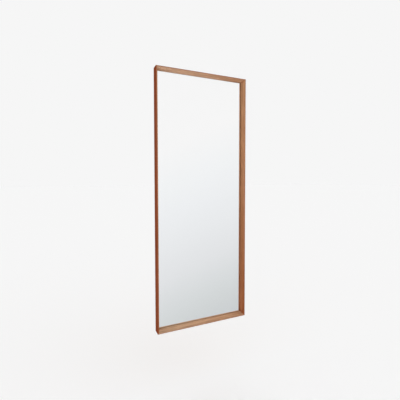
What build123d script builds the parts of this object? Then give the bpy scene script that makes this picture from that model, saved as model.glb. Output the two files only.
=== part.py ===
from build123d import *
import os

# Full-length wall mirror in a mitred box frame of solid wood.
# X runs across the mirror, Y from its front to its back and Z up.
# The origin is the middle of the bottom edge, half way between the front edge and the wall.

# Overall size of the frame
overall_width = 690.0
overall_height = 1800.0
frame_depth = 60.0

# Section of the four frame members, measured inwards from the outer face and back from the front
front_edge = 6.0
sight_edge = 20.0
rebate_wall = 12.0
glass_setback = 38.0
front_round = 1.0
sight_round = 0.5
rear_round = 0.8

# Loose tongues in the mitres
spline_width = 10.0
spline_thickness = 3.0
spline_inset = 6.5
spline_front_margin = 14.0
spline_rear_margin = 8.0
spline_gap = 0.1

# Mirror glass, with the felt tape it beds on and the two blocks it stands on
glass_thickness = 4.0
glass_side_gap = 2.0
glass_top_gap = 2.0
glass_arris = 0.5
tape_thickness = 0.5
tape_width = 6.0
tape_margin = 1.0
block_length = 60.0
block_height = 3.0

# Backing sheet and back panel, which stand on the bottom of the rebate
sheet_thickness = 1.0
panel_thickness = 3.0
panel_side_gap = 1.0
panel_top_gap = 2.0

# Retaining beads behind the panel
bead_width = 8.0
bead_depth = 9.0
bead_end_gap = 0.5
bead_round = 1.5
bead_screw_pitch = 260.0
bead_screw_inset = 40.0
bead_screw_bite = 8.0

# Hanging batten across the back
batten_height = 70.0
batten_thickness = 9.0
batten_drop = 300.0
batten_end_gap = 0.5
batten_round = 1.5

# Angle brackets that hold the batten between the stiles
bracket_leg = 20.0
bracket_width = 8.0
bracket_thickness = 1.5
bracket_hole_station = 13.0
bracket_corner = 2.0
bracket_screw_length = 10.0

# Hanger straps and the rings that swing in their rolled ends
hanger_inset = 110.0
hanger_drop = 6.0
strap_width = 14.0
strap_length = 46.0
strap_thickness = 1.2
strap_slit = 0.5
strap_corner = 5.0
strap_first_hole = 25.0
strap_hole_pitch = 14.0
hanger_screw_margin = 1.0
ring_wire = 3.0
ring_width = 26.0
ring_drop = 17.0
ring_corner = 3.0
ring_bow = 10.0
ring_pin_gap = 0.05
ring_rest_gap = 0.3

# Countersunk cross-head wood screw, the same throughout but for its length
screw_radius = 1.5
screw_head_radius = 3.0
screw_head_height = 1.6
screw_rim = 0.25
screw_tip = 2.5
screw_gap = 0.05
recess_span = 3.4
recess_width = 0.8
recess_depth = 1.1

# Felt bumpers on the rear edges of the stiles
bumper_radius = 5.0
bumper_height = 2.0
bumper_round = 0.4
bumper_inset = 45.0

# Cuts run this far past the faces they go through
overrun = 5.0

# Places from front to back
front_y = -(frame_depth + bumper_height) / 2
rear_y = front_y + frame_depth
shoulder_y = front_y + glass_setback
glass_front_y = shoulder_y + tape_thickness
glass_rear_y = glass_front_y + glass_thickness
panel_front_y = glass_rear_y + sheet_thickness
panel_rear_y = panel_front_y + panel_thickness
bead_rear_y = panel_rear_y + bead_depth
bead_middle_y = (panel_rear_y + bead_rear_y) / 2
batten_rear_y = panel_rear_y + batten_thickness
batten_middle_y = (panel_rear_y + batten_rear_y) / 2
strap_rear_y = batten_rear_y + strap_thickness
hinge_y = strap_rear_y + ring_rest_gap + ring_wire / 2

# Places across and up
half_width = overall_width / 2
wall_x = half_width - rebate_wall
sight_x = half_width - sight_edge
rebate_low_z = rebate_wall
rebate_high_z = overall_height - rebate_wall
batten_high_z = overall_height - batten_drop
batten_low_z = batten_high_z - batten_height
hinge_z = batten_high_z - hanger_drop
strap_end_z = hinge_z - strap_length

side_names = {-1: "left", 1: "right"}
level_names = {-1: "lower", 1: "upper"}
corner_names = {-1: "bottom", 1: "top"}


def block(x_span, y_span, z_span):
    """A rectangular block between two values along each axis, given in either order."""
    spans = (x_span, y_span, z_span)
    size = [abs(end - start) for start, end in spans]
    centre = [(start + end) / 2 for start, end in spans]
    return Pos(*centre) * Box(*size)


def eased(solid, axis, point, radius, count=1):
    """Round over the edges that run along an axis and lie nearest to a point."""
    edges = solid.edges().filter_by(axis).sort_by_distance(Vector(*point))
    return fillet(edges[:count], radius)


# Frame members


def rounded_corner(outline, corner, radius):
    """Round the corner of a flat outline that lies at a point."""
    vertex = outline.vertices().sort_by_distance(Vector(*corner))[0]
    return fillet(vertex, radius)


def member_section():
    """Section of a frame member: depth along the first axis, distance from the outer face along the second."""
    front_outer = (0, 0)
    front_inner = (0, front_edge)
    sight_corner = (glass_setback, sight_edge)
    rear_outer = (frame_depth, 0)
    outline = Polyline(
        front_outer,
        front_inner,
        sight_corner,
        (glass_setback, rebate_wall),
        (frame_depth, rebate_wall),
        rear_outer,
        close=True,
    )
    section = make_face(outline)
    section = rounded_corner(section, front_outer, front_round)
    section = rounded_corner(section, front_inner, front_round)
    section = rounded_corner(section, sight_corner, sight_round)
    return rounded_corner(section, rear_outer, rear_round)


def mitre_waste(length, end):
    """The wedge that the saw takes off one end of a member lying along X, where end is -1 or 1."""
    reach = sight_edge + overrun
    tip = length / 2
    outline = Polyline(
        (end * (tip + overrun), -overrun),
        (end * (tip + overrun), reach),
        (end * (tip - reach), reach),
        close=True,
    )
    return extrude(Plane.XZ * make_face(outline), frame_depth + overrun, both=True)


def frame_member(length):
    """A mitred member lying along X, with its outer face down and its front edge at zero depth."""
    member = extrude(Plane.YZ * member_section(), length / 2, both=True)
    for end in (-1, 1):
        member -= mitre_waste(length, end)
    return member


def frame_members():
    """The two stiles and two rails in their places, each turned so that its outer face is outermost."""
    rail = frame_member(overall_width)
    stile = frame_member(overall_height)
    middle_z = overall_height / 2
    return {
        "bottom_rail": Pos(0, front_y, 0) * rail,
        "top_rail": Pos(0, front_y, overall_height) * Rot(0, 180, 0) * rail,
        "left_stile": Pos(-half_width, front_y, middle_z) * Rot(0, 90, 0) * stile,
        "right_stile": Pos(half_width, front_y, middle_z) * Rot(0, -90, 0) * stile,
    }


# Loose tongues


def corner_tongue(side, level, gap):
    """A flat tongue across one mitre, or with a gap all round, the slot cut for it."""
    low_y = front_y + spline_front_margin
    high_y = rear_y - spline_rear_margin
    size = (spline_width + 2 * gap, high_y - low_y + 2 * gap, spline_thickness + 2 * gap)
    x = side * (half_width - spline_inset)
    z = spline_inset if level < 0 else overall_height - spline_inset
    return Pos(x, (low_y + high_y) / 2, z) * Rot(0, 45 * side * level, 0) * Box(*size)


# Glass and its bedding


def mirror_glass():
    """Float glass with its sharp edges taken off."""
    half_glass = wall_x - glass_side_gap
    low_z = rebate_low_z + block_height
    high_z = rebate_high_z - glass_top_gap
    glass = block((-half_glass, half_glass), (glass_front_y, glass_rear_y), (low_z, high_z))
    return chamfer(glass.edges().filter_by(Axis.Y, reverse=True), glass_arris)


def side_tape(side):
    """Felt tape on the shoulder of one stile, the full height of the glass."""
    inner_x = sight_x + tape_margin
    margin = sight_edge - tape_margin - tape_width
    x_span = (side * inner_x, side * (inner_x + tape_width))
    return block(x_span, (shoulder_y, glass_front_y), (margin, overall_height - margin))


def level_tape(level):
    """Felt tape on the shoulder of one rail, between the two side tapes."""
    inner_x = sight_x + tape_margin
    high_z = sight_edge - tape_margin
    low_z = high_z - tape_width
    z_span = (low_z, high_z) if level < 0 else (overall_height - high_z, overall_height - low_z)
    return block((-inner_x, inner_x), (shoulder_y, glass_front_y), z_span)


def setting_block(side):
    """Rubber block under the glass, at a quarter of its width."""
    middle_x = side * half_width / 2
    x_span = (middle_x - block_length / 2, middle_x + block_length / 2)
    z_span = (rebate_low_z, rebate_low_z + block_height)
    return block(x_span, (glass_front_y, glass_rear_y), z_span)


# Backing


def backing(start_y, end_y):
    """A flat sheet that fills the rebate and stands on its bottom face."""
    half_panel = wall_x - panel_side_gap
    z_span = (rebate_low_z, rebate_high_z - panel_top_gap)
    return block((-half_panel, half_panel), (start_y, end_y), z_span)


# Wood screws


def screw_profile(length, gap, rise):
    """Half section of a screw, or with a gap and a rise above its head, of the hole it sits in."""
    head = screw_head_radius + gap
    shank = screw_radius + gap
    return Polyline(
        (0, rise),
        (head, rise),
        (head, -screw_rim),
        (shank, -screw_head_height),
        (shank, screw_tip - length),
        (0, -length - gap),
        close=True,
    )


def turned(profile):
    """A round solid from its half section, with its axis along Z."""
    return revolve(Plane.XZ * make_face(profile), Axis.Z)


def wood_screw(length):
    """A countersunk screw with a cross recess, its head's flat face at the origin, facing up."""
    screw = turned(screw_profile(length, 0, 0))
    recess_centre = Pos(0, 0, (overrun - recess_depth) / 2)
    screw -= recess_centre * Box(recess_span, recess_width, recess_depth + overrun)
    screw -= recess_centre * Box(recess_width, recess_span, recess_depth + overrun)
    return screw


def screws_at(places, length):
    """A group of separate screws, one at each place, given as a point and the way its head faces."""
    screw = wood_screw(length)
    return Compound(children=[Plane(origin=point, z_dir=facing) * screw for point, facing in places])


def without_screw_holes(solid, places, length):
    """A solid with the countersunk hole of each screw taken out of it."""
    hole = turned(screw_profile(length, screw_gap, overrun))
    for point, facing in places:
        solid -= Plane(origin=point, z_dir=facing) * hole
    return solid


def even_stations(low, high):
    """Screw stations along a bead: one near each end and the rest evenly between them."""
    first = low + bead_screw_inset
    run = high - bead_screw_inset - first
    gaps = max(1, round(run / bead_screw_pitch))
    return [first + run * index / gaps for index in range(gaps + 1)]


# Retaining beads


def level_bead(level):
    """The bead along one rail, with its screw places."""
    half_bead = wall_x - bead_end_gap
    outer_z = rebate_low_z if level < 0 else rebate_high_z
    inner_z = outer_z - level * bead_width
    solid = block((-half_bead, half_bead), (panel_rear_y, bead_rear_y), (outer_z, inner_z))
    solid = eased(solid, Axis.X, (0, bead_rear_y, inner_z), bead_round)
    stations = even_stations(-half_bead, half_bead)
    places = [((x, bead_middle_y, inner_z), (0, 0, -level)) for x in stations]
    return solid, places


def side_bead(side, level):
    """The bead along one stile, above or below the batten, with its screw places."""
    outer_x = side * wall_x
    inner_x = side * (wall_x - bead_width)
    batten_z = batten_low_z if level < 0 else batten_high_z
    rail_z = rebate_low_z if level < 0 else rebate_high_z
    batten_end = batten_z + level * (bracket_leg + bead_end_gap)
    rail_end = rail_z - level * (bead_width + bead_end_gap)
    low_z, high_z = sorted((batten_end, rail_end))
    solid = block((outer_x, inner_x), (panel_rear_y, bead_rear_y), (low_z, high_z))
    solid = eased(solid, Axis.Z, (inner_x, bead_rear_y, (low_z + high_z) / 2), bead_round)
    places = [((inner_x, bead_middle_y, z), (-side, 0, 0)) for z in even_stations(low_z, high_z)]
    return solid, places


# Hanging batten and its brackets


def hanging_batten():
    """The batten between the stiles, behind the panel."""
    half_batten = wall_x - batten_end_gap
    z_span = (batten_low_z, batten_high_z)
    batten = block((-half_batten, half_batten), (panel_rear_y, batten_rear_y), z_span)
    batten = eased(batten, Axis.X, (0, batten_rear_y, batten_low_z), batten_round)
    return eased(batten, Axis.X, (0, batten_rear_y, batten_high_z), batten_round)


def batten_bracket(side, level):
    """An angle bracket in the corner of a stile and the batten, with its screw places."""
    edge_z = batten_low_z if level < 0 else batten_high_z
    far_x = side * (wall_x - bracket_leg)
    far_z = edge_z + level * bracket_leg
    plate_x = side * (wall_x - bracket_thickness)
    plate_z = edge_z + level * bracket_thickness
    y_span = (batten_middle_y - bracket_width / 2, batten_middle_y + bracket_width / 2)
    bracket = block((side * wall_x, far_x), y_span, (edge_z, plate_z))
    bracket += block((side * wall_x, plate_x), y_span, (edge_z, far_z))
    bracket = eased(bracket, Axis.Z, (far_x, batten_middle_y, edge_z), bracket_corner, 2)
    bracket = eased(bracket, Axis.X, (side * wall_x, batten_middle_y, far_z), bracket_corner, 2)
    hole_x = side * (wall_x - bracket_hole_station)
    hole_z = edge_z + level * bracket_hole_station
    places = [
        ((hole_x, batten_middle_y, plate_z), (0, 0, level)),
        ((plate_x, batten_middle_y, hole_z), (-side, 0, 0)),
    ]
    return bracket, places


# Hangers


def hanger_strap(middle_x):
    """A steel strap flat on the batten, its top end rolled round the ring, with its screw places."""
    bore = ring_wire / 2 + ring_pin_gap
    outer = bore + strap_thickness
    plate_front = -(ring_wire / 2 + ring_rest_gap + strap_thickness)
    plate_rear = plate_front + strap_thickness
    half_strap = strap_width / 2
    across = (-half_strap, half_strap)
    roll = Plane.YZ * (Circle(outer) - Circle(bore))
    roll = extrude(roll, half_strap, both=True)
    roll -= block(across, (plate_rear, plate_rear + strap_slit), (0, -outer - overrun))
    plate = block(across, (plate_front, plate_rear), (0, -strap_length))
    plate = eased(plate, Axis.Y, (0, plate_rear, -strap_length), strap_corner, 2)
    strap = Pos(middle_x, hinge_y, hinge_z) * (plate + roll)
    stations = (strap_first_hole, strap_first_hole + strap_hole_pitch)
    places = [((middle_x, strap_rear_y, hinge_z - station), (0, 1, 0)) for station in stations]
    return strap, places


def hanging_ring(middle_x):
    """A ring of bent wire, straight where it turns in the strap, hanging down over the strap."""
    half_ring = (ring_width - ring_wire) / 2
    path = Plane.XZ * FilletPolyline(
        (-half_ring, 0),
        (half_ring, 0),
        (half_ring, -ring_drop),
        (-half_ring, -ring_drop),
        radius=[ring_corner, ring_corner, ring_bow, ring_bow],
        close=True,
    )
    wire_end = Plane(origin=path @ 0, z_dir=path % 0)
    ring = sweep(wire_end * Circle(ring_wire / 2), path=path)
    return Pos(middle_x, hinge_y, hinge_z) * ring


# Bumpers


def bumper(side, level):
    """A felt disc stuck to the rear edge of a stile."""
    x = side * (half_width - rebate_wall / 2)
    z = bumper_inset if level < 0 else overall_height - bumper_inset
    disc = extrude(Circle(bumper_radius), bumper_height)
    disc = fillet(disc.edges().group_by(Axis.Z)[-1], bumper_round)
    return Plane(origin=(x, rear_y, z), z_dir=(0, 1, 0)) * disc


# Assembly, with every hole and slot cut where its screw or tongue goes


def assembled_parts():
    """Every piece of the mirror by its node name."""
    parts = frame_members()
    parts["mirror_glass"] = mirror_glass()
    parts["backing_sheet"] = backing(glass_rear_y, panel_front_y)
    parts["back_panel"] = backing(panel_front_y, panel_rear_y)
    batten = hanging_batten()
    bead_screw_length = bead_width + bead_screw_bite
    hanger_screw_length = strap_thickness + batten_thickness - hanger_screw_margin

    for level, corner in corner_names.items():
        rail_name = corner + "_rail"
        bead, places = level_bead(level)
        parts[corner + "_bead"] = without_screw_holes(bead, places, bead_screw_length)
        parts[corner + "_bead_screws"] = screws_at(places, bead_screw_length)
        parts[rail_name] = without_screw_holes(parts[rail_name], places, bead_screw_length)
        parts[corner + "_glass_tape"] = level_tape(level)

    for side, side_name in side_names.items():
        stile_name = side_name + "_stile"
        stile = parts[stile_name]
        bracket_places = []
        parts[side_name + "_glass_tape"] = side_tape(side)
        parts[side_name + "_setting_block"] = setting_block(side)

        for level, corner in corner_names.items():
            slot = corner_tongue(side, level, spline_gap)
            stile -= slot
            parts[corner + "_rail"] -= slot
            parts[corner + "_" + side_name + "_spline"] = corner_tongue(side, level, 0)
            parts[corner + "_" + side_name + "_bumper"] = bumper(side, level)

        for level, level_name in level_names.items():
            node = side_name + "_" + level_name
            bead, places = side_bead(side, level)
            parts[node + "_bead"] = without_screw_holes(bead, places, bead_screw_length)
            parts[node + "_bead_screws"] = screws_at(places, bead_screw_length)
            stile = without_screw_holes(stile, places, bead_screw_length)
            bracket, places = batten_bracket(side, level)
            parts[node + "_bracket"] = without_screw_holes(bracket, places, bracket_screw_length)
            bracket_places += places

        parts[side_name + "_bracket_screws"] = screws_at(bracket_places, bracket_screw_length)
        batten = without_screw_holes(batten, bracket_places, bracket_screw_length)
        parts[stile_name] = without_screw_holes(stile, bracket_places, bracket_screw_length)

        middle_x = side * (half_width - hanger_inset)
        strap, places = hanger_strap(middle_x)
        parts[side_name + "_hanger_strap"] = without_screw_holes(strap, places, hanger_screw_length)
        parts[side_name + "_hanger_screws"] = screws_at(places, hanger_screw_length)
        parts[side_name + "_hanging_ring"] = hanging_ring(middle_x)
        batten = without_screw_holes(batten, places, hanger_screw_length)

    parts["hanging_batten"] = batten
    return parts


os.makedirs("parts", exist_ok=True)
for node, shape in assembled_parts().items():
    export_step(shape, "parts/" + node + ".step")
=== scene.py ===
import math

import bmesh
import bpy
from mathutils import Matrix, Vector


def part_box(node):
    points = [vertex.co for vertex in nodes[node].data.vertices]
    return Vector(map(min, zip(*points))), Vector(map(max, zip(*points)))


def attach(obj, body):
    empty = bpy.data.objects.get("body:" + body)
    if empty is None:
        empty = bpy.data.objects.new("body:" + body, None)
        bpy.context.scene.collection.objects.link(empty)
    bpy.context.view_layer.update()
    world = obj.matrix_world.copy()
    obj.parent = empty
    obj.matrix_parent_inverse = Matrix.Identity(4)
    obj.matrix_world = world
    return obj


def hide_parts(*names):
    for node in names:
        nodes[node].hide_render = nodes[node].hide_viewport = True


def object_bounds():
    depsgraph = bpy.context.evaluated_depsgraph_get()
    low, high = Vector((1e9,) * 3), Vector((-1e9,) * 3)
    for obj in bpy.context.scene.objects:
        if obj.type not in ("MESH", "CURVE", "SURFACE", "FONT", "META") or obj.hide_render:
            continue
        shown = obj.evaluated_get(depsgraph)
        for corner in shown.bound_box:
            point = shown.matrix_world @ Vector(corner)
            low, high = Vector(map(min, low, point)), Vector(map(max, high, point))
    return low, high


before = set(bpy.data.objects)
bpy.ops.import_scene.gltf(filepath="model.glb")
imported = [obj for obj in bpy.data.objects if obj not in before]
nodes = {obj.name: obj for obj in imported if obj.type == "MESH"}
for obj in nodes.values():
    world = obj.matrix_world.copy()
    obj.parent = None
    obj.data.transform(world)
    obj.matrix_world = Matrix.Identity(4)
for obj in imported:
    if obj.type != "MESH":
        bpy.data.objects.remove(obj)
cad_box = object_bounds()


# Frame: two stiles and two rails of teak, a slim box section 60 mm deep.
# They are mitred and glued round a blind tongue, sanded, and rubbed with oil,
# so the pores stay open and the arrises are softened by hand.

mm = 0.001
low_corner, high_corner = cad_box
half_width = high_corner.x
top_z = high_corner.z
front_y = low_corner.y
sight_width = 20 * mm
glue_line_width = 0.5 * mm
growth_ring_spacing = 2.6 * mm
growth_ring_slant = 0.55
latewood_sharpness = 2.2
grain_wander = 26 * mm
tone_patch_width = 34 * mm
streak_width = 5.5 * mm
vein_width = 9 * mm
# Painted shade on the outer faces, and how far it reaches round on to the front and inner faces.
shade_past_front = 5.5 * mm
shade_past_inner = 2.5 * mm
inner_face_shade = 12 * mm
shade_blend_start = 0.3 * mm
front_shade_reach = 2.5 * mm
rubbed_full = 0.2 * mm
rubbed_reach = 1.6 * mm
# Width of the painted shade along the sight edge, in the corner beside the glass.
sight_shade_width = 5 * mm

# Teak's fibres and pores are finer than this, and are drawn just coarse enough to show.
fibre_width = 0.5 * mm
pore_width = 0.42 * mm
pore_depth = 0.12 * mm

eased = {"interpolation_type": "SMOOTHSTEP"}


def linear(hex_colour):
    """The linear colour that a shader takes, from an sRGB hex value."""
    channels = [int(hex_colour[start:start + 2], 16) / 255 for start in (1, 3, 5)]
    return [c / 12.92 if c <= 0.04045 else ((c + 0.055) / 1.055) ** 2.4 for c in channels] + [1]


def feed(node, inputs):
    """Sets a node's inputs, by name or in order, to values, sockets or other nodes' first live outputs."""
    pairs = inputs.items() if isinstance(inputs, dict) else enumerate(inputs)
    for key, value in pairs:
        if isinstance(value, bpy.types.Node):
            value = next(output for output in value.outputs if output.enabled)
        if isinstance(value, bpy.types.NodeSocket):
            node.id_data.links.new(value, node.inputs[key])
        else:
            node.inputs[key].default_value = value
    return node


def add(tree, kind, inputs=(), **settings):
    """A new node of any kind, with its settings and what feeds its inputs."""
    node = tree.nodes.new(kind)
    for name, value in settings.items():
        setattr(node, name, value)
    return feed(node, inputs)


def new_finish(name):
    """A material with its shader, and where on the piece it is being asked for."""
    material = bpy.data.materials.new(name)
    material.use_nodes = True
    tree = material.node_tree
    place = add(tree, "ShaderNodeTexCoord").outputs["Object"]
    return material, tree, tree.nodes["Principled BSDF"], place


def drawn_out(axis, stretch):
    """The scale that draws a grain pattern out along the axis that the fibres follow."""
    return [1 / stretch if letter == axis else 1.0 for letter in "XYZ"]


def dress(names, material):
    """Gives CAD pieces their material."""
    for name in names:
        slots = nodes[name].data.materials
        slots.clear()
        slots.append(material)


def oiled_teak(name, axis, inwards, tones, sight_edge_shade, offset):
    """Teak, planed, sanded and oiled: straight grain with darker latewood streaks and short open pores,
    nearly matt. The outer faces are painted darker as shade, the front faces partly so, and the inner
    faces lighter as the light that the mirror throws on them; on the stiles the inner faces are painted
    lighter towards the top, as lit from above. Arrises are rubbed paler, and painted shade darkens the
    sight edge, in the corner beside the glass."""
    material, tree, shader, place = new_finish(name)
    split = add(tree, "ShaderNodeSeparateXYZ", [place])
    across, sign, start = inwards
    depth = split.outputs["Y"]
    run = split.outputs[axis]
    inset = add(tree, "ShaderNodeMath", [split.outputs[across], sign, start], operation="MULTIPLY_ADD")

    slid = (offset, offset, offset)
    board, figure, fibre, pore = [
        add(tree, "ShaderNodeMapping", {"Vector": place, "Location": slid, "Scale": drawn_out(axis, stretch)})
        for stretch in (14, 30, 60, 18)
    ]
    patches = add(tree, "ShaderNodeTexNoise", {"Vector": board, "Scale": 1 / tone_patch_width})
    tone = add(tree, "ShaderNodeMapRange", [patches, 0.3, 0.7], **eased)
    streaks = add(tree, "ShaderNodeTexNoise", {"Vector": figure, "Scale": 1 / streak_width})
    feed(streaks, {"Detail": 3.0, "Roughness": 0.6, "Distortion": 0.4})
    streak = add(tree, "ShaderNodeMapRange", [streaks, 0.38, 0.66], **eased)
    wander = add(tree, "ShaderNodeTexNoise", {"Vector": board, "Scale": 1 / grain_wander})
    slanted = add(tree, "ShaderNodeMath", [inset, growth_ring_slant, depth], operation="MULTIPLY_ADD")
    ring_place = add(tree, "ShaderNodeMath", [wander, grain_wander, slanted], operation="MULTIPLY_ADD")
    ring_count = add(tree, "ShaderNodeMath", [ring_place, growth_ring_spacing], operation="DIVIDE")
    ring_phase = add(tree, "ShaderNodeMath", [ring_count], operation="FRACT")
    ring = add(tree, "ShaderNodeMath", [ring_phase, latewood_sharpness], operation="POWER")
    hair = add(tree, "ShaderNodeTexNoise", {"Vector": fibre, "Scale": 1 / fibre_width})
    pores = add(tree, "ShaderNodeTexNoise", {"Vector": pore, "Scale": 1 / pore_width, "Detail": 1.0})
    open_pore = add(tree, "ShaderNodeMapRange", [pores, 0.66, 0.74], **eased)
    veins = add(tree, "ShaderNodeTexNoise", {"Vector": figure, "Scale": 1 / vein_width, "Distortion": 0.8})
    vein = add(tree, "ShaderNodeMapRange", [veins, 0.66, 0.72], **eased)

    # Painted shade and light: the outer faces take the dark outer tone, and the front faces a quarter of it.
    # The tone reaches a little way on to the inner faces near the front. The inner faces take the lighter
    # inner tones, as the light that the mirror throws on them.
    outer, low_end, high_end = [linear(tone_hex) for tone_hex in tones]
    run_low, run_high = (0.0, top_z) if axis == "Z" else (-half_width, half_width)
    # Along the board the inner tone goes from its low end to its high end. On the stiles this is painted
    # light, lighter towards the top as if lit from above. On the rails it changes from left to right.
    drift_and_top_light = add(tree, "ShaderNodeMapRange", [run, run_low, run_high])
    inner = add(tree, "ShaderNodeMix", {0: drift_and_top_light, 6: low_end, 7: high_end}, data_type="RGBA")
    from_front = add(tree, "ShaderNodeMath", [depth, front_y], operation="SUBTRACT")
    front_fade = [from_front, shade_blend_start, front_shade_reach, 0.75, 1.0]
    behind_edge = add(tree, "ShaderNodeMapRange", front_fade, **eased)
    narrowing = [from_front, 0.0, inner_face_shade, shade_past_front, shade_past_inner]
    shade_reach = add(tree, "ShaderNodeMapRange", narrowing, **eased)
    past_shade = add(tree, "ShaderNodeMapRange", [inset, shade_blend_start, shade_reach], **eased)
    lit_share = add(tree, "ShaderNodeMath", [past_shade, behind_edge], operation="MULTIPLY")
    middle = add(tree, "ShaderNodeMix", {0: lit_share, 6: outer, 7: inner}, data_type="RGBA")
    pale = add(tree, "ShaderNodeHueSaturation", {"Saturation": 0.96, "Value": 1.22, "Color": middle})
    browned = {0: 0.75, 6: middle, 7: linear("#B08A78")}
    dark = add(tree, "ShaderNodeMix", browned, data_type="RGBA", blend_type="MULTIPLY")
    deep = add(tree, "ShaderNodeMix", {0: 0.6, 6: middle, 7: linear("#3A1D10")}, data_type="RGBA")
    colour = add(tree, "ShaderNodeMix", {0: tone, 6: middle, 7: pale}, data_type="RGBA")
    for share, pattern, tint in (
        (0.55, streak, dark),
        (0.34, ring, dark),
        (0.22, hair, middle),
        (0.4, vein, deep),
        (0.55, open_pore, deep),
    ):
        weight = add(tree, "ShaderNodeMath", [pattern, share], operation="MULTIPLY")
        colour = add(tree, "ShaderNodeMix", {0: weight, 6: colour, 7: tint}, data_type="RGBA")

    rub_fade = [from_front, rubbed_reach, rubbed_full, 0.0, 0.18]
    rubbed = add(tree, "ShaderNodeMapRange", rub_fade, **eased)
    colour = add(tree, "ShaderNodeMix", {0: rubbed, 6: colour, 7: pale}, data_type="RGBA")
    # Painted shade: the inner faces darken over the last few millimetres before the sight edge, in the corner
    # beside the glass.
    sight_shade_fade = [inset, sight_width - sight_shade_width, sight_width, 0.0, sight_edge_shade]
    sight_edge_shaded = add(tree, "ShaderNodeMapRange", sight_shade_fade, **eased)
    colour = add(tree, "ShaderNodeMix", {0: sight_edge_shaded, 6: colour, 7: deep}, data_type="RGBA")
    middle_run = (run_low + run_high) / 2
    off_middle = add(tree, "ShaderNodeMath", [run, middle_run], operation="SUBTRACT")
    from_middle = add(tree, "ShaderNodeMath", [off_middle], operation="ABSOLUTE")
    mitre_run = add(tree, "ShaderNodeMath", [run_high - middle_run, inset], operation="SUBTRACT")
    to_mitre = add(tree, "ShaderNodeMath", [mitre_run, from_middle], operation="SUBTRACT")
    glue_fade = [to_mitre, glue_line_width, glue_line_width / 5, 0.0, 0.75]
    glue_line = add(tree, "ShaderNodeMapRange", glue_fade, **eased)
    colour = add(tree, "ShaderNodeMix", {0: glue_line, 6: colour, 7: deep}, data_type="RGBA")

    half_hair = add(tree, "ShaderNodeMath", [hair, 0.5], operation="MULTIPLY")
    relief = add(tree, "ShaderNodeMath", [open_pore, -1.0, half_hair], operation="MULTIPLY_ADD")
    bump = add(tree, "ShaderNodeBump", {"Strength": 0.5, "Distance": pore_depth, "Height": relief})
    streak_roughness = add(tree, "ShaderNodeMath", [streak, 0.08, 0.76], operation="MULTIPLY_ADD")
    roughness = add(tree, "ShaderNodeMath", [open_pore, 0.2, streak_roughness], operation="MULTIPLY_ADD")
    feed(shader, {"Base Color": colour, "Roughness": roughness, "Normal": bump})
    feed(shader, {"IOR": 1.47, "Specular IOR Level": 0.0})
    return material


# Each member's tones: the outer one, then the inner ones at the low and the high end of the board. The outer
# tone is painted shade. The inner tones are painted light that the mirror throws on the inner faces, and the
# stiles' inner tones are lighter at the top as painted light from above. The rails' inner tones are paler
# still, partly their boards' own tone and partly painted light from the floor and the mirror.
member_tones = {
    "left_stile": ("#8F4A2D", "#B06F48", "#C4906A"),
    "right_stile": ("#935032", "#AB6842", "#C4946C"),
    "top_rail": ("#965638", "#D0AA8C", "#BD8E6C"),
    "bottom_rail": ("#965638", "#CDA988", "#CB9B77"),
}
# How deep the painted shade along the sight edge is on each member.
member_sight_edge_shade = {"left_stile": 0.35, "right_stile": 0.35, "top_rail": 0.1, "bottom_rail": 0.1}
member_runs = {
    "left_stile": ("Z", ("X", 1.0, half_width), 0.0),
    "right_stile": ("Z", ("X", -1.0, half_width), 3.1),
    "top_rail": ("X", ("Z", -1.0, top_z), 5.7),
    "bottom_rail": ("X", ("Z", 1.0, 0.0), 8.3),
}
for member, (grain_axis, inset_rule, board_offset) in member_runs.items():
    tones, sight_edge_shade = member_tones[member], member_sight_edge_shade[member]
    teak = oiled_teak("oiled_teak_" + member, grain_axis, inset_rule, tones, sight_edge_shade, board_offset)
    dress([member], teak)


# Tongues: flat slips of beech, glued blind across each mitre.
# They are sawn, not planed, and pale with short darker flecks.

ray_fleck_width = 0.8 * mm
beech_cloud_width = 9 * mm
saw_mark_depth = 0.1 * mm


def sawn_beech():
    """Beech straight from the saw: even pale brown with short ray flecks and a slightly rough face."""
    material, tree, shader, place = new_finish("sawn_beech")
    fibre = add(tree, "ShaderNodeMapping", {"Vector": place, "Scale": drawn_out("Y", 12)})
    flecks = add(tree, "ShaderNodeTexNoise", {"Vector": fibre, "Scale": 1 / ray_fleck_width, "Detail": 1.0})
    fleck = add(tree, "ShaderNodeMapRange", [flecks, 0.6, 0.7], **eased)
    tone = add(tree, "ShaderNodeTexNoise", {"Vector": place, "Scale": 1 / beech_cloud_width, "Detail": 3.0})
    plain = {0: tone, 6: linear("#C99E70"), 7: linear("#DDB98D")}
    colour = add(tree, "ShaderNodeMix", plain, data_type="RGBA")
    weight = add(tree, "ShaderNodeMath", [fleck, 0.5], operation="MULTIPLY")
    colour = add(tree, "ShaderNodeMix", {0: weight, 6: colour, 7: linear("#9E6E44")}, data_type="RGBA")
    bump = add(tree, "ShaderNodeBump", {"Strength": 0.4, "Distance": saw_mark_depth, "Height": fleck})
    feed(shader, {"Base Color": colour, "Roughness": 0.7, "Normal": bump})
    return material


dress([name for name in nodes if name.endswith("_spline")], sawn_beech())


# Glass: one sheet of 4 mm float glass with its arrises taken off, standing in the rebate.
# Its rear face is silvered, coppered and painted, so it reflects from 4 mm inside.

silver_margin = 1 * mm
silver_thickness = 0.06 * mm
silver_depth = 0.02 * mm
silver_cloud_width = 120 * mm
paint_grit_width = 0.7 * mm
cloth_mark_width = 60 * mm


def float_glass():
    """Clear float glass, fire-polished and wiped: colourless, with a trace of haze left by the cloth."""
    material, tree, shader, place = new_finish("clear_float_glass")
    wiping = add(tree, "ShaderNodeTexNoise", {"Vector": place, "Scale": 1 / cloth_mark_width, "Detail": 4.0})
    haze = add(tree, "ShaderNodeMapRange", [wiping, 0.45, 0.85, 0.0, 0.006], **eased)
    feed(shader, {"Base Color": linear("#FEFEFE"), "Roughness": haze})
    feed(shader, {"Transmission Weight": 1.0, "IOR": 1.52})
    return material


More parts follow.
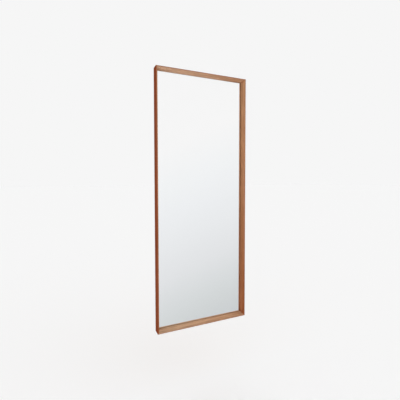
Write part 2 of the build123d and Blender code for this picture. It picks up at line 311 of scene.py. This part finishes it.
def silvering():
    """Chemically deposited silver seen through the glass, with a grey protective paint behind it."""
    material, tree, shader, place = new_finish("silvering_with_grey_paint")
    depth = add(tree, "ShaderNodeSeparateXYZ", [place]).outputs["Y"]
    paint_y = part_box("mirror_glass")[1].y - silver_depth - silver_thickness / 2
    painted = add(tree, "ShaderNodeMath", [depth, paint_y], operation="GREATER_THAN")
    grit = add(tree, "ShaderNodeTexNoise", {"Vector": place, "Scale": 1 / paint_grit_width, "Detail": 3.0})
    greys = {0: grit, 6: linear("#7F8588"), 7: linear("#8F9598")}
    paint = add(tree, "ShaderNodeMix", greys, data_type="RGBA")
    bloom = add(tree, "ShaderNodeTexNoise", {"Vector": place, "Scale": 1 / silver_cloud_width, "Detail": 3.0})
    silvers = {0: bloom, 6: linear("#FCFCFC"), 7: linear("#FDFDFD")}
    tone = add(tree, "ShaderNodeMix", silvers, data_type="RGBA")
    colour = add(tree, "ShaderNodeMix", {0: painted, 6: tone, 7: paint}, data_type="RGBA")
    metal = add(tree, "ShaderNodeMath", [1.0, painted], operation="SUBTRACT")
    roughness = add(tree, "ShaderNodeMath", [painted, 0.6], operation="MULTIPLY")
    feed(shader, {"Base Color": colour, "Metallic": metal, "Roughness": roughness})
    return material


def flat_sheet(name, low, high):
    """A thin closed sheet between two corners, as a mesh object."""
    sheet = bmesh.new()
    bmesh.ops.create_cube(sheet, size=1.0)
    size = high - low
    centre = (low + high) / 2
    for vertex in sheet.verts:
        vertex.co = Vector((vertex.co[axis] * size[axis] + centre[axis] for axis in range(3)))
    mesh = bpy.data.meshes.new(name)
    sheet.to_mesh(mesh)
    sheet.free()
    piece = bpy.data.objects.new(name, mesh)
    bpy.context.scene.collection.objects.link(piece)
    return piece


dress(["mirror_glass"], float_glass())
glass_low, glass_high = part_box("mirror_glass")
silver_low = glass_low + Vector((silver_margin, 0, silver_margin))
silver_high = glass_high - Vector((silver_margin, silver_depth, silver_margin))
silver_low.y = silver_high.y - silver_thickness
silver = flat_sheet("silvering", silver_low, silver_high)
silver.data.materials.append(silvering())
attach(silver, "mirror")


# Bedding: strips of pressed felt between the frame's shoulder and the glass, and
# four felt discs that keep the frame off the wall. All are stuck down.

wool_fibre_width = 0.35 * mm
wool_clump_width = 2.2 * mm
nap_depth = 0.2 * mm


def pressed_felt(name, low_tone, high_tone, fibre_tone):
    """Wool felt, pressed and cut: matt, with a tangle of paler fibres, drawn coarse enough to show."""
    material, tree, shader, place = new_finish(name)
    tangle = add(tree, "ShaderNodeTexNoise", {"Vector": place, "Scale": 1 / wool_fibre_width})
    feed(tangle, {"Detail": 5.0, "Roughness": 0.7, "Distortion": 1.5})
    fibres = add(tree, "ShaderNodeMapRange", [tangle, 0.52, 0.72, 0.0, 0.6], **eased)
    clump = add(tree, "ShaderNodeTexNoise", {"Vector": place, "Scale": 1 / wool_clump_width, "Detail": 3.0})
    dyed = {0: clump, 6: linear(low_tone), 7: linear(high_tone)}
    colour = add(tree, "ShaderNodeMix", dyed, data_type="RGBA")
    colour = add(tree, "ShaderNodeMix", {0: fibres, 6: colour, 7: linear(fibre_tone)}, data_type="RGBA")
    bump = add(tree, "ShaderNodeBump", {"Strength": 0.9, "Distance": nap_depth, "Height": tangle})
    feed(shader, {"Base Color": colour, "Roughness": 0.95, "Normal": bump})
    feed(shader, {"Sheen Weight": 0.3, "Sheen Roughness": 0.6})
    return material


tape_felt = pressed_felt("pressed_felt_buff", "#7A5C45", "#8C6C52", "#A98C70")
bumper_felt = pressed_felt("pressed_felt_grey", "#3A3531", "#4C4640", "#7A7268")
dress([name for name in nodes if name.endswith("_glass_tape")], tape_felt)
dress([name for name in nodes if name.endswith("_bumper")], bumper_felt)


# Setting blocks: two pads of rubber that the glass stands on.
# They are cut from moulded sheet, with a dull bloom on the black.

rubber_bloom = 6 * mm

# The moulded grit is finer than this, and is drawn just coarse enough to show.
rubber_grit_width = 0.3 * mm
rubber_grit_depth = 0.05 * mm


def moulded_rubber():
    """Black rubber sheet, moulded and cut: matt, with a grey bloom."""
    material, tree, shader, place = new_finish("moulded_rubber")
    clouds = add(tree, "ShaderNodeTexNoise", {"Vector": place, "Scale": 1 / rubber_bloom, "Detail": 3.0})
    bloom = add(tree, "ShaderNodeMapRange", [clouds, 0.4, 0.8], **eased)
    blacks = {0: bloom, 6: linear("#1D1D1E"), 7: linear("#34353A")}
    colour = add(tree, "ShaderNodeMix", blacks, data_type="RGBA")
    grit = add(tree, "ShaderNodeTexNoise", {"Vector": place, "Scale": 1 / rubber_grit_width, "Detail": 3.0})
    bump = add(tree, "ShaderNodeBump", {"Strength": 0.3, "Distance": rubber_grit_depth, "Height": grit})
    feed(shader, {"Base Color": colour, "Roughness": 0.75, "Normal": bump})
    return material


dress([name for name in nodes if name.endswith("_setting_block")], moulded_rubber())


# Backing: a thin sheet of closed-cell foam that protects the silvering,
# and behind it a panel of 3 mm hardboard with its smooth face outwards.

foam_cell_width = 1.6 * mm
foam_cell_depth = 0.2 * mm
mottle_width = 55 * mm
cloud_width = 7 * mm
fibre_bundle_width = 1.3 * mm
wood_chip_width = 2.4 * mm
board_relief = 0.06 * mm


def foam_sheet():
    """Closed-cell packing foam, extruded: off-white, with a skin of small flattened cells."""
    material, tree, shader, place = new_finish("closed_cell_foam")
    cells = add(tree, "ShaderNodeTexVoronoi", {"Vector": place, "Scale": 1 / foam_cell_width})
    whites = {0: cells, 6: linear("#E9E9E5"), 7: linear("#D5D6D2")}
    colour = add(tree, "ShaderNodeMix", whites, data_type="RGBA")
    bump = add(tree, "ShaderNodeBump", {"Strength": 0.5, "Distance": foam_cell_depth, "Height": cells})
    feed(shader, {"Base Color": colour, "Roughness": 0.6, "Normal": bump})
    return material


def hardboard():
    """Wet-pressed hardboard: brown and faintly mottled, with darker fibre bundles and pale chips."""
    material, tree, shader, place = new_finish("pressed_hardboard")
    mottle = add(tree, "ShaderNodeTexNoise", {"Vector": place, "Scale": 1 / mottle_width, "Detail": 4.0})
    mottled = add(tree, "ShaderNodeMapRange", [mottle, 0.3, 0.7], **eased)
    cloud = add(tree, "ShaderNodeTexNoise", {"Vector": place, "Scale": 1 / cloud_width, "Detail": 3.0})
    bundles = add(tree, "ShaderNodeTexNoise", {"Vector": place, "Scale": 1 / fibre_bundle_width})
    feed(bundles, {"Detail": 3.0, "Roughness": 0.6, "Distortion": 2.0})
    bundle = add(tree, "ShaderNodeMapRange", [bundles, 0.62, 0.72], **eased)
    chips = add(tree, "ShaderNodeTexNoise", {"Vector": place, "Scale": 1 / wood_chip_width})
    feed(chips, {"Distortion": 3.0})
    chip = add(tree, "ShaderNodeMapRange", [chips, 0.66, 0.74], **eased)
    browns = {0: mottled, 6: linear("#805A3B"), 7: linear("#886141")}
    colour = add(tree, "ShaderNodeMix", browns, data_type="RGBA")
    for share, pattern, tint in ((0.22, cloud, "#6A452B"), (0.55, bundle, "#4C2F1C"), (0.4, chip, "#A88460")):
        weight = add(tree, "ShaderNodeMath", [pattern, share], operation="MULTIPLY")
        colour = add(tree, "ShaderNodeMix", {0: weight, 6: colour, 7: linear(tint)}, data_type="RGBA")
    roughness = add(tree, "ShaderNodeMapRange", [cloud, 0.3, 0.7, 0.42, 0.58], **eased)
    bump = add(tree, "ShaderNodeBump", {"Strength": 0.25, "Distance": board_relief, "Height": cloud})
    feed(shader, {"Base Color": colour, "Roughness": roughness, "Normal": bump})
    return material


dress(["backing_sheet"], foam_sheet())
dress(["back_panel"], hardboard())


# Beads and batten: planed pine. The beads are screwed to the frame and hold the panel in,
# and the batten lies across the back between the stiles to carry the hangers.

pine_ring_spacing = 4.4 * mm
pine_ring_sharpness = 3.5
pine_wander = 22 * mm
pine_wander_width = 30 * mm
pine_tone_width = 40 * mm
knot_radius = 4.5 * mm
knot_fade_radius = 6.5 * mm
knot_bend_radius = 26 * mm
knot_bend = 9 * mm
plane_mark_depth = 0.1 * mm

# Pine's fibres and resin ducts are finer than this, and are drawn just coarse enough to show.
pine_fibre_width = 0.6 * mm
resin_streak_width = 1.1 * mm


def planed_pine(name, axis, offset, middle, knots):
    """Unfinished pine, planed: cream with honey latewood lines, darker resin streaks and the odd knot."""
    material, tree, shader, place = new_finish(name)
    split = add(tree, "ShaderNodeSeparateXYZ", [place])
    slid = (offset, offset, offset)
    board, fibre = [
        add(tree, "ShaderNodeMapping", {"Vector": place, "Location": slid, "Scale": drawn_out(axis, stretch)})
        for stretch in (10, 50)
    ]
    cross = split.outputs["X" if axis == "Z" else "Z"]
    off_heart = add(tree, "ShaderNodeMath", [cross, middle], operation="SUBTRACT")
    heart = add(tree, "ShaderNodeMath", [off_heart], operation="ABSOLUTE")
    wander = add(tree, "ShaderNodeTexNoise", {"Vector": board, "Scale": 1 / pine_wander_width})
    ring_place = add(tree, "ShaderNodeMath", [wander, pine_wander, heart], operation="MULTIPLY_ADD")
    knot_share = 0.0
    for knot_x, knot_z in knots:
        knot_place = (knot_x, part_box("hanging_batten")[1].y, knot_z)
        spot = add(tree, "ShaderNodeVectorMath", [place, knot_place], operation="DISTANCE")
        bend = add(tree, "ShaderNodeMapRange", [spot, knot_bend_radius, 0.0, 0.0, knot_bend], **eased)
        ring_place = add(tree, "ShaderNodeMath", [ring_place, bend], operation="ADD")
        eye_fade = [spot, knot_fade_radius, knot_radius, 0.0, 0.8]
        eye = add(tree, "ShaderNodeMapRange", eye_fade, **eased)
        knot_share = add(tree, "ShaderNodeMath", [knot_share, eye], operation="MAXIMUM")
    ring_count = add(tree, "ShaderNodeMath", [ring_place, pine_ring_spacing], operation="DIVIDE")
    ring_phase = add(tree, "ShaderNodeMath", [ring_count], operation="FRACT")
    ring = add(tree, "ShaderNodeMath", [ring_phase, pine_ring_sharpness], operation="POWER")
    hair = add(tree, "ShaderNodeTexNoise", {"Vector": fibre, "Scale": 1 / pine_fibre_width})
    ducts = add(tree, "ShaderNodeTexNoise", {"Vector": fibre, "Scale": 1 / resin_streak_width, "Detail": 1.0})
    resin = add(tree, "ShaderNodeMapRange", [ducts, 0.72, 0.78], **eased)
    tone = add(tree, "ShaderNodeTexNoise", {"Vector": board, "Scale": 1 / pine_tone_width, "Detail": 3.0})
    creams = {0: tone, 6: linear("#E8CC9C"), 7: linear("#DDBB86")}
    colour = add(tree, "ShaderNodeMix", creams, data_type="RGBA")
    for share, pattern, tint in ((0.75, ring, "#C08A50"), (0.18, hair, "#CFA56C"), (0.5, resin, "#A87240")):
        weight = add(tree, "ShaderNodeMath", [pattern, share], operation="MULTIPLY")
        colour = add(tree, "ShaderNodeMix", {0: weight, 6: colour, 7: linear(tint)}, data_type="RGBA")
    colour = add(tree, "ShaderNodeMix", {0: knot_share, 6: colour, 7: linear("#7A4726")}, data_type="RGBA")
    bump = add(tree, "ShaderNodeBump", {"Strength": 0.4, "Distance": plane_mark_depth, "Height": hair})
    feed(shader, {"Base Color": colour, "Roughness": 0.62, "Normal": bump, "Specular IOR Level": 0.4})
    return material


batten_low, batten_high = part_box("hanging_batten")
batten_middle = (batten_low.z + batten_high.z) / 2
batten_knots = [(-88 * mm, batten_middle + 14 * mm), (171 * mm, batten_middle - 19 * mm)]
level_beads = ["top_bead", "bottom_bead"]
side_beads = [name for name in nodes if name.endswith(("_upper_bead", "_lower_bead"))]
dress(["hanging_batten"], planed_pine("planed_pine_batten", "X", 1.7, batten_middle, batten_knots))
dress(level_beads, planed_pine("planed_pine_level_beads", "X", 4.1, 0.0, []))
dress(side_beads, planed_pine("planed_pine_side_beads", "Z", 6.9, 0.0, []))


# Ironmongery: angle brackets, hanger straps and rings of pressed and bent steel,
# barrel-plated with zinc after forming. The rings turn in the straps' rolled ends.

plating_cloud = 5 * mm
handling_mark_width = 1.4 * mm
rubbing_mark_width = 0.25 * mm
rubbing_mark_depth = 0.03 * mm


def zinc_plate(name, scratch_axis):
    """Bright zinc plating on pressed steel: blue-white and satin, clouded, with fine rubbing marks
    from the barrel, drawn coarse enough to show."""
    material, tree, shader, place = new_finish(name)
    cloud = add(tree, "ShaderNodeTexNoise", {"Vector": place, "Scale": 1 / plating_cloud, "Detail": 3.0})
    drawn = add(tree, "ShaderNodeMapping", {"Vector": place, "Scale": drawn_out(scratch_axis, 25)})
    rub = add(tree, "ShaderNodeTexNoise", {"Vector": drawn, "Scale": 1 / rubbing_mark_width})
    handling = add(tree, "ShaderNodeTexNoise", {"Vector": place, "Scale": 1 / handling_mark_width})
    feed(handling, {"Detail": 3.0, "Roughness": 0.6})
    dull = add(tree, "ShaderNodeMapRange", [handling, 0.5, 0.75], **eased)
    plating = {0: cloud, 6: linear("#C3C8CC"), 7: linear("#D6D7D3")}
    colour = add(tree, "ShaderNodeMix", plating, data_type="RGBA")
    weight = add(tree, "ShaderNodeMath", [dull, 0.35], operation="MULTIPLY")
    colour = add(tree, "ShaderNodeMix", {0: weight, 6: colour, 7: linear("#A5A9AA")}, data_type="RGBA")
    rubbed = add(tree, "ShaderNodeMath", [rub, 0.16, 0.24], operation="MULTIPLY_ADD")
    roughness = add(tree, "ShaderNodeMath", [dull, 0.15, rubbed], operation="MULTIPLY_ADD")
    bump = add(tree, "ShaderNodeBump", {"Strength": 0.2, "Distance": rubbing_mark_depth, "Height": rub})
    feed(shader, {"Base Color": colour, "Metallic": 1.0, "Roughness": roughness, "Normal": bump})
    return material


plated_strip = zinc_plate("zinc_plated_strip", "Z")
plated_wire = zinc_plate("zinc_plated_wire", "X")
plated_screw = zinc_plate("zinc_plated_screw", "Y")
dress([name for name in nodes if name.endswith(("_bracket", "_hanger_strap"))], plated_strip)
dress([name for name in nodes if name.endswith("_hanging_ring")], plated_wire)


# Screws: countersunk cross-head wood screws, 3 mm thick, zinc plated like the rest.
# Each is turned in by hand until its head is flush, so no two recesses point alike.

screw_head_radius = 3 * mm
screw_head_height = 1.6 * mm
screw_rim = 0.25 * mm
screw_core_radius = 1.1 * mm
screw_thread_radius = 1.45 * mm
screw_length = 16 * mm
screw_tip = 2.5 * mm
thread_pitch = 1.35 * mm
thread_start = 2.6 * mm
recess_span = 3.4 * mm
recess_width = 0.8 * mm
recess_depth = 1.1 * mm
recess_taper_share = 0.45
screw_sides = 24
screw_ring_step = 0.22 * mm
merge_gap = 0.001 * mm


def screw_shank(tree, given):
    """A countersunk head on a threaded shank: a rod whose radius is worked out at each depth."""
    ring_count = add(tree, "ShaderNodeMath", [given["Length"], screw_ring_step], operation="DIVIDE")
    rings = add(tree, "ShaderNodeMath", [ring_count], operation="CEIL")
    rod_sizes = {"Vertices": screw_sides, "Side Segments": rings, "Radius": 1.0, "Depth": given["Length"]}
    rod = add(tree, "GeometryNodeMeshCylinder", rod_sizes)
    point = add(tree, "GeometryNodeInputPosition")
    spot = add(tree, "ShaderNodeSeparateXYZ", [point]).outputs
    half_length = add(tree, "ShaderNodeMath", [given["Length"], 0.5], operation="MULTIPLY")
    depth = add(tree, "ShaderNodeMath", [half_length, spot["Z"]], operation="SUBTRACT")

    past_rim = add(tree, "ShaderNodeMath", [depth, given["Rim"]], operation="SUBTRACT")
    below_rim = add(tree, "ShaderNodeMath", [past_rim, 0.0], operation="MAXIMUM")
    head_ends = [given["Head Radius"], given["Core Radius"]]
    head_fall = add(tree, "ShaderNodeMath", head_ends, operation="SUBTRACT")
    head_rise = add(tree, "ShaderNodeMath", [given["Head Height"], given["Rim"]], operation="SUBTRACT")
    slope = add(tree, "ShaderNodeMath", [head_fall, head_rise], operation="DIVIDE")
    drawn_in = add(tree, "ShaderNodeMath", [below_rim, slope], operation="MULTIPLY")
    cone = add(tree, "ShaderNodeMath", [given["Head Radius"], drawn_in], operation="SUBTRACT")

    angle = add(tree, "ShaderNodeMath", [spot["Y"], spot["X"]], operation="ARCTAN2")
    turns_round = add(tree, "ShaderNodeMath", [angle, math.tau], operation="DIVIDE")
    turns_down = add(tree, "ShaderNodeMath", [depth, given["Thread Pitch"]], operation="DIVIDE")
    turns = add(tree, "ShaderNodeMath", [turns_down, turns_round], operation="ADD")
    turn_share = add(tree, "ShaderNodeMath", [turns], operation="FRACT")
    off_crest = add(tree, "ShaderNodeMath", [turn_share, 0.5], operation="SUBTRACT")
    from_crest = add(tree, "ShaderNodeMath", [off_crest], operation="ABSOLUTE")
    flank = add(tree, "ShaderNodeMath", [from_crest, -4.0, 1.0], operation="MULTIPLY_ADD")
    crest = add(tree, "ShaderNodeMath", [flank, 0.0], operation="MAXIMUM")
    threaded = add(tree, "ShaderNodeMath", [depth, given["Thread Start"]], operation="GREATER_THAN")
    crest_share = add(tree, "ShaderNodeMath", [crest, threaded], operation="MULTIPLY")
    thread_ends = [given["Thread Radius"], given["Core Radius"]]
    thread_height = add(tree, "ShaderNodeMath", thread_ends, operation="SUBTRACT")
    ridge = add(tree, "ShaderNodeMath", [crest_share, thread_height], operation="MULTIPLY")
    left_over = add(tree, "ShaderNodeMath", [given["Length"], depth], operation="SUBTRACT")
    tip_share = add(tree, "ShaderNodeMath", [left_over, given["Tip"]], operation="DIVIDE")
    taper = add(tree, "ShaderNodeMath", [tip_share, 1.0], operation="MINIMUM")
    full_core = add(tree, "ShaderNodeMath", [given["Core Radius"], ridge], operation="ADD")
    core = add(tree, "ShaderNodeMath", [full_core, taper], operation="MULTIPLY")

    radius = add(tree, "ShaderNodeMath", [cone, core], operation="MAXIMUM")
    across = add(tree, "ShaderNodeCombineXYZ", {"X": radius, "Y": radius, "Z": 1.0})
    shaped = add(tree, "ShaderNodeVectorMath", [point, across], operation="MULTIPLY")
    drop = add(tree, "ShaderNodeMath", [half_length, -1.0], operation="MULTIPLY")
    lowered = add(tree, "ShaderNodeCombineXYZ", {"Z": drop})
    placed = add(tree, "ShaderNodeVectorMath", [shaped, lowered], operation="ADD")
    screw = add(tree, "GeometryNodeSetPosition", {"Geometry": rod, "Position": placed})
    return add(tree, "GeometryNodeMergeByDistance", {"Geometry": screw, "Distance": merge_gap})


def recess_arms(tree, given):
    """The two crossed wedges that a cross-head recess is cut with."""
    half_diagonal = add(tree, "ShaderNodeMath", [given["Recess Span"], math.sqrt(0.5)], operation="MULTIPLY")
    wide_end = add(tree, "ShaderNodeMath", [half_diagonal, 2 - recess_taper_share], operation="MULTIPLY")
    narrow_end = add(tree, "ShaderNodeMath", [half_diagonal, recess_taper_share], operation="MULTIPLY")
    twice_deep = add(tree, "ShaderNodeMath", [given["Recess Depth"], 2.0], operation="MULTIPLY")
    wedge_sizes = {"Vertices": 4, "Radius Top": wide_end, "Radius Bottom": narrow_end, "Depth": twice_deep}
    wedge = add(tree, "GeometryNodeMeshCone", wedge_sizes)
    sink = add(tree, "ShaderNodeMath", [given["Recess Depth"], -1.0], operation="MULTIPLY")
    sunk = add(tree, "ShaderNodeCombineXYZ", {"Z": sink})
    squaring = {"Geometry": wedge, "Rotation": (0, 0, math.radians(45)), "Translation": sunk}
    squared = add(tree, "GeometryNodeTransform", squaring)
    narrow = add(tree, "ShaderNodeMath", [given["Recess Width"], given["Recess Span"]], operation="DIVIDE")
    slim = add(tree, "ShaderNodeCombineXYZ", {"X": 1.0, "Y": narrow, "Z": 1.0})
    first = add(tree, "GeometryNodeTransform", {"Geometry": squared, "Scale": slim})
    second = add(tree, "GeometryNodeTransform", {"Geometry": first, "Rotation": (0, 0, math.radians(90))})
    return first, second


def screw_tree():
    """Geometry nodes that set a threaded wood screw at every point, its head facing the point's own way."""
    tree = bpy.data.node_groups.new("wood_screws", "GeometryNodeTree")
    sizes = {
        "Head Radius": screw_head_radius,
        "Head Height": screw_head_height,
        "Rim": screw_rim,
        "Core Radius": screw_core_radius,
        "Thread Radius": screw_thread_radius,
        "Thread Pitch": thread_pitch,
        "Thread Start": thread_start,
        "Tip": screw_tip,
        "Recess Span": recess_span,
        "Recess Width": recess_width,
        "Recess Depth": recess_depth,
        "Length": screw_length,
    }
    tree.interface.new_socket("Geometry", in_out="INPUT", socket_type="NodeSocketGeometry")
    for name, size in sizes.items():
        socket = tree.interface.new_socket(name, in_out="INPUT", socket_type="NodeSocketFloat")
        socket.default_value = size
    seed_socket = tree.interface.new_socket("Seed", in_out="INPUT", socket_type="NodeSocketInt")
    seed_socket.default_value = 7
    tree.interface.new_socket("Finish", in_out="INPUT", socket_type="NodeSocketMaterial")
    tree.interface.new_socket("Geometry", in_out="OUTPUT", socket_type="NodeSocketGeometry")
    given = add(tree, "NodeGroupInput").outputs

    shank = screw_shank(tree, given)
    cut = add(tree, "GeometryNodeMeshBoolean", {"Mesh 1": shank}, operation="DIFFERENCE", solver="EXACT")
    for arm in recess_arms(tree, given):
        feed(cut, {"Mesh 2": arm})

    facing = add(tree, "GeometryNodeInputNamedAttribute", {"Name": "facing"}, data_type="FLOAT_VECTOR")
    upright = add(tree, "FunctionNodeAlignRotationToVector", {"Vector": facing}, axis="Z")
    any_turn = {2: 0.0, 3: math.tau, "Seed": given["Seed"]}
    spin = add(tree, "FunctionNodeRandomValue", any_turn, data_type="FLOAT")
    turned = add(tree, "FunctionNodeAxisAngleToRotation", {"Axis": (0, 0, 1), "Angle": spin})
    both = {"Rotation": upright, "Rotate By": turned}
    rotation = add(tree, "FunctionNodeRotateRotation", both, rotation_space="LOCAL")
    placing = {"Points": given["Geometry"], "Instance": cut, "Rotation": rotation}
    copies = add(tree, "GeometryNodeInstanceOnPoints", placing)
    solid = add(tree, "GeometryNodeRealizeInstances", {"Geometry": copies})
    finished = add(tree, "GeometryNodeSetMaterial", {"Geometry": solid, "Material": given["Finish"]})
    add(tree, "NodeGroupOutput", {"Geometry": finished})
    return tree


def screw_places(node):
    """Where each screw of a CAD group sits: the middle of its head, the way it faces, and its length."""
    shell = bmesh.new()
    shell.from_mesh(nodes[node].data)
    bmesh.ops.remove_doubles(shell, verts=shell.verts, dist=merge_gap)
    waiting = set(shell.verts)
    places = []
    while waiting:
        found = [waiting.pop()]
        for vertex in found:
            for edge in vertex.link_edges:
                other = edge.other_vert(vertex)
                if other in waiting:
                    waiting.remove(other)
                    found.append(other)
        points = [vertex.co for vertex in found]
        low = Vector([min(point[axis] for point in points) for axis in range(3)])
        high = Vector([max(point[axis] for point in points) for axis in range(3)])
        size = high - low
        axis = max(range(3), key=lambda index: size[index])
        centre = (low + high) / 2
        others = [index for index in range(3) if index != axis]
        widest = max(points, key=lambda point: sum((point[index] - centre[index]) ** 2 for index in others))
        facing = Vector((0, 0, 0))
        facing[axis] = 1 if widest[axis] > centre[axis] else -1
        places.append((centre + facing * size[axis] / 2, facing, size[axis]))
    shell.free()
    return places


def screw_group(node, tree, seed):
    """The screws of one CAD group as one mesh of real threaded screws, standing for the group."""
    places = screw_places(node)
    carrier_mesh = bpy.data.meshes.new(node + "_points")
    carrier_mesh.from_pydata([head for head, facing, length in places], [], [])
    attribute = carrier_mesh.attributes.new("facing", "FLOAT_VECTOR", "POINT")
    for index, (head, facing, length) in enumerate(places):
        attribute.data[index].vector = facing
    carrier = bpy.data.objects.new(node + "_carrier", carrier_mesh)
    bpy.context.scene.collection.objects.link(carrier)
    modifier = carrier.modifiers.new("wood_screws", "NODES")
    modifier.node_group = tree
    chosen = {"Length": places[0][2], "Seed": seed, "Finish": plated_screw}
    for item in tree.interface.items_tree:
        if item.in_out == "INPUT" and item.name in chosen:
            modifier[item.identifier] = chosen[item.name]
    bpy.context.view_layer.update()
    evaluated = carrier.evaluated_get(bpy.context.evaluated_depsgraph_get())
    mesh = bpy.data.meshes.new_from_object(evaluated)
    bpy.data.objects.remove(carrier)
    piece = bpy.data.objects.new(node + "_threaded", mesh)
    bpy.context.scene.collection.objects.link(piece)
    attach(piece, "mirror")
    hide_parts(node)


wood_screws = screw_tree()
for seed, group in enumerate(sorted(name for name in nodes if name.endswith("_screws"))):
    screw_group(group, wood_screws, seed)


# Studio: a plain pale floor below the hung mirror, which runs on into a background of the same tone.
# The mirror sees white above it and a cool grey below, as of a darker floor near it.

floor_z = -450 * mm
floor_reach = 60.0
floor_colour = linear("#F6F6F6")
backdrop_colour = linear("#F6F6F6")
world_light = 0.89
side_fall = 0.25
rear_rise = 0.2
view_slant = -0.45
view_lift = 0.18
reflected_light = 1.03
thrown_gain = 2.6

floor_mesh = bpy.data.meshes.new("floor")
corners = [(-1, -1), (1, -1), (1, 1), (-1, 1)]
floor_mesh.from_pydata([(x * floor_reach, y * floor_reach, floor_z) for x, y in corners], [], [(0, 1, 2, 3)])
floor = bpy.data.objects.new("floor", floor_mesh)
bpy.context.scene.collection.objects.link(floor)
floor_paint = bpy.data.materials.new("pale_floor_paint")
floor_paint.use_nodes = True
floor_shader = floor_paint.node_tree.nodes["Principled BSDF"]
feed(floor_shader, {"Base Color": floor_colour, "Roughness": 1.0, "Specular IOR Level": 0.0})
floor_mesh.materials.append(floor_paint)
floor.visible_glossy = False
floor.visible_transmission = False

world = bpy.data.worlds.new("studio")
bpy.context.scene.world = world
world.use_nodes = True
sky = world.node_tree
sky.nodes.clear()
direction = add(sky, "ShaderNodeTexCoord").outputs["Generated"]
toward = add(sky, "ShaderNodeSeparateXYZ", [direction]).outputs
rays = add(sky, "ShaderNodeLightPath").outputs

# What the mirror shows, from low on the left of it to high on the right.
slanted = add(sky, "ShaderNodeMath", [toward["X"], view_slant, view_lift], operation="MULTIPLY_ADD")
height = add(sky, "ShaderNodeMath", [toward["Z"], slanted], operation="ADD")
mirror_tones = [
    (-0.85, "#F6F6F6"),
    (-0.62, "#C1C5C7"),
    (-0.52, "#C3C7C9"),
    (-0.47, "#C7CBCE"),
    (-0.41, "#D0D4D5"),
    (-0.37, "#D5D9DA"),
    (-0.28, "#E1E3E5"),
    (-0.18, "#E8EAEC"),
    (-0.08, "#EDEFF1"),
    (0.014, "#F1F3F4"),
    (0.15, "#F6F6F6"),
]
lowest, highest = mirror_tones[0][0], mirror_tones[-1][0]
ramp_place = add(sky, "ShaderNodeMapRange", [height, lowest, highest])
ramp = add(sky, "ShaderNodeValToRGB", [ramp_place])
ramp_elements = ramp.color_ramp.elements
while len(ramp_elements) < len(mirror_tones):
    ramp_elements.new(0.5)
for element, (stop, hex_colour) in zip(ramp_elements, mirror_tones):
    element.position = (stop - lowest) / (highest - lowest)
    element.color = linear(hex_colour)

# The light that the mirror throws back on to its own frame is raised, because most of it
# is lost on short ray paths through the glass.
thrown = add(sky, "ShaderNodeMath", [rays["Diffuse Depth"], 1.0], operation="MINIMUM")
mirror_light = add(sky, "ShaderNodeMath", [thrown, thrown_gain, reflected_light], operation="MULTIPLY_ADD")
reflected = add(sky, "ShaderNodeBackground", {"Color": ramp, "Strength": mirror_light})

# The room's own light comes from all sides, a little more from the right and from behind.
from_side = add(sky, "ShaderNodeMath", [toward["X"], side_fall * world_light], operation="MULTIPLY")
from_rear = add(sky, "ShaderNodeMath", [toward["Y"], rear_rise * world_light], operation="MULTIPLY")
uneven = add(sky, "ShaderNodeMath", [from_side, from_rear], operation="ADD")
room_light = add(sky, "ShaderNodeMath", [uneven, world_light], operation="ADD")
lamp = add(sky, "ShaderNodeBackground", {"Color": linear("#FFFFFF"), "Strength": room_light})
seen = add(sky, "ShaderNodeBackground", {"Color": backdrop_colour, "Strength": 1.0})
mirror_rays = [rays["Is Glossy Ray"], rays["Is Transmission Ray"]]
mirrored = add(sky, "ShaderNodeMath", mirror_rays, operation="MAXIMUM")
lit = add(sky, "ShaderNodeMixShader", [mirrored, lamp, reflected])
shown = add(sky, "ShaderNodeMixShader", [rays["Is Camera Ray"], lit, seen])
add(sky, "ShaderNodeOutputWorld", {"Surface": shown})


# Lamp: one broad soft light high behind the mirror, which lays its faint shadow on the floor
# in front of it. The mirror doesn't show it.


def soft_lamp(name, azimuth, elevation, strength, spread):
    """A distant lamp as wide as a studio softbox, which the mirror doesn't show."""
    light = bpy.data.lights.new(name, "SUN")
    light.energy = strength
    light.angle = math.radians(spread)
    lamp_object = bpy.data.objects.new(name, light)
    bpy.context.scene.collection.objects.link(lamp_object)
    lamp_object.rotation_euler = (math.radians(90 - elevation), 0, math.radians(azimuth))
    lamp_object.visible_glossy = False
    lamp_object.visible_transmission = False


soft_lamp("rear_softbox", azimuth=158, elevation=45, strength=0.5, spread=60)


# Camera: the photograph's viewing angle, from the left and a little above the middle of the mirror.
# It looks slightly down.

viewpoint = (-0.8622, -1.8993, 1.0575)
looking_down = 2.27
roll = 0.074
turned_right = 23.969

camera_data = bpy.data.cameras.new("camera")
camera = bpy.data.objects.new("camera", camera_data)
bpy.context.scene.collection.objects.link(camera)
camera.location = viewpoint
camera.rotation_euler = [math.radians(turn) for turn in (90 - looking_down, roll, -turned_right)]
camera_data.sensor_width = 36
camera_data.lens = 26.007
camera_data.shift_y = -0.025
bpy.context.scene.camera = camera
bpy.context.scene.view_settings.view_transform = "Standard"
